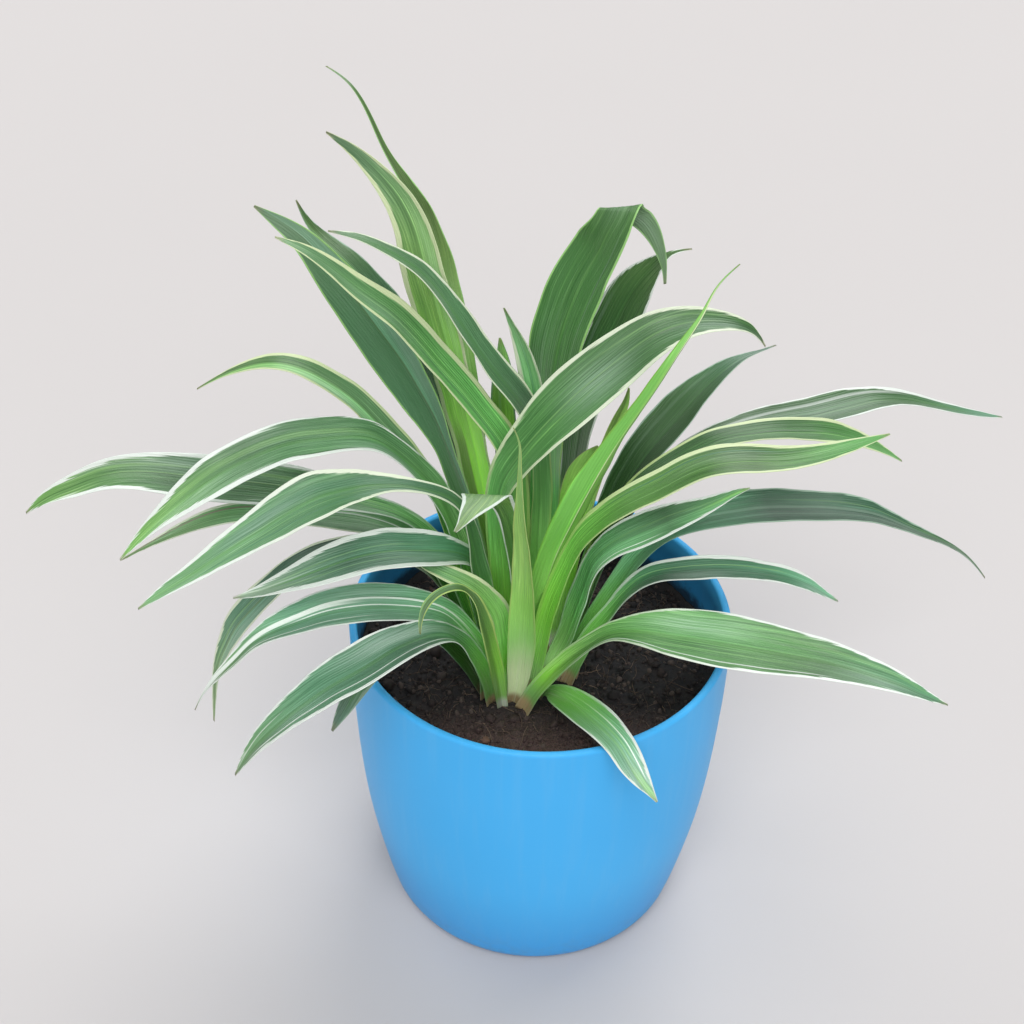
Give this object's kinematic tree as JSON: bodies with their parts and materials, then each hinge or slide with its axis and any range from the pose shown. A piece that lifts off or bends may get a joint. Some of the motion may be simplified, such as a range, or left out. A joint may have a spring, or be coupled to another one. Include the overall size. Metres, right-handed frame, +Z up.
{
  "type": "potted spider plant",
  "caption": "Variegated spider plant: green strap leaves with cream and white edges arching from a crown in dark soil, in a round tapered sky-blue pot.",
  "frame": {"origin": "centre of the pot's flat underside, where the pot rests", "axes": "+Z up along the pot's axis, -Y toward the pictured front, +X to the pictured right"},
  "size_m": [0.3907, 0.2086, 0.3382],
  "materials": {
    "pot_plastic": "satin sky-blue moulded plastic",
    "soil_coir": "dark crumbly coir and bark soil",
    "leaf_white_edge": "satin deep green leaf with white edges and fine lengthwise veins",
    "leaf_cream_edge": "satin fresh green leaf with cream edges and a pale base"
  },
  "bodies": {
    "root": {"pot": "pot_plastic", "soil": "soil_coir", "leaf_tall_thread_tip": "leaf_cream_edge", "leaf_tall_cream_edge": "leaf_cream_edge", "leaf_broad_upper_left": "leaf_white_edge", "leaf_dark_upper_left": "leaf_white_edge", "leaf_crossing_upper": "leaf_cream_edge", "leaf_arching_centre_left": "leaf_cream_edge", "leaf_arching_centre_right": "leaf_cream_edge", "leaf_centre_spike": "leaf_cream_edge", "leaf_centre_curled_tip": "leaf_white_edge", "leaf_left_cream_edge": "leaf_cream_edge", "leaf_left_large": "leaf_white_edge", "leaf_left_front": "leaf_white_edge", "leaf_far_left": "leaf_white_edge", "leaf_left_under": "leaf_white_edge", "leaf_left_middle": "leaf_white_edge", "leaf_left_short": "leaf_cream_edge", "leaf_left_small_curl": "leaf_cream_edge", "leaf_left_hanging": "leaf_white_edge", "leaf_left_striped": "leaf_white_edge", "leaf_front_left": "leaf_white_edge", "leaf_front_left_low": "leaf_white_edge", "leaf_front_right_drooping": "leaf_white_edge", "leaf_right_large": "leaf_white_edge", "leaf_right_low": "leaf_white_edge", "leaf_far_right": "leaf_white_edge", "leaf_right_middle": "leaf_white_edge", "leaf_right_upper": "leaf_cream_edge", "leaf_right_back": "leaf_cream_edge", "leaf_back_right_long": "leaf_white_edge", "leaf_dark_right": "leaf_white_edge", "leaf_right_upright": "leaf_cream_edge", "leaf_right_slender": "leaf_cream_edge", "leaf_back_folded_over": "leaf_white_edge", "leaf_back_pointed": "leaf_white_edge", "leaf_centre_small": "leaf_white_edge", "leaf_centre_back": "leaf_cream_edge", "leaf_right_inner": "leaf_cream_edge"}
  },
  "joints": []
}
